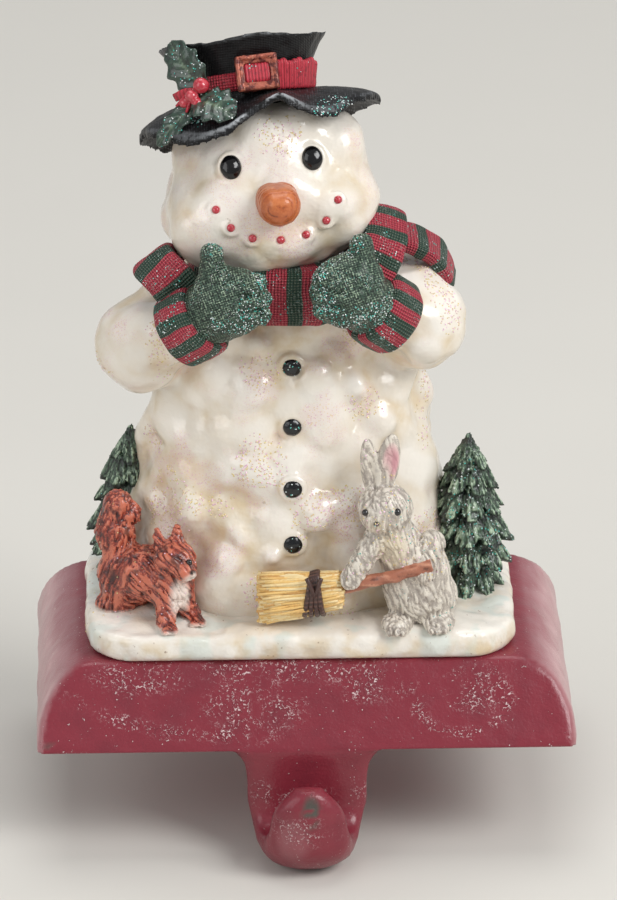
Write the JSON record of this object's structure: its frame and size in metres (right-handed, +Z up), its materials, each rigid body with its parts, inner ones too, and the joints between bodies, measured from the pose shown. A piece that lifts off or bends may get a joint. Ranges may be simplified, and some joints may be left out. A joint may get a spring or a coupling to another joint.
{
  "type": "mantel stocking holder",
  "caption": "Weighted mantel holder that hangs a Christmas stocking from a front hook: an iron base under a painted snowman casting with squirrel, rabbit, broom and fir trees.",
  "frame": {"origin": "middle of the base's flat underside, on the plane of the mantel shelf", "axes": "+Z up, -Y to the front where the hook is, +X to the right as seen from the front"},
  "size_m": [0.13, 0.0997, 0.1977],
  "materials": {
    "maroon_iron": "semi-gloss brushed enamel over rough cast iron",
    "painted_resin": "hand painted and varnished, with glitter",
    "zinc_steel": "zinc plated"
  },
  "bodies": {
    "root": {"hook_base": "maroon_iron", "figure": "painted_resin", "fixing_screw": "zinc_steel"}
  },
  "joints": []
}
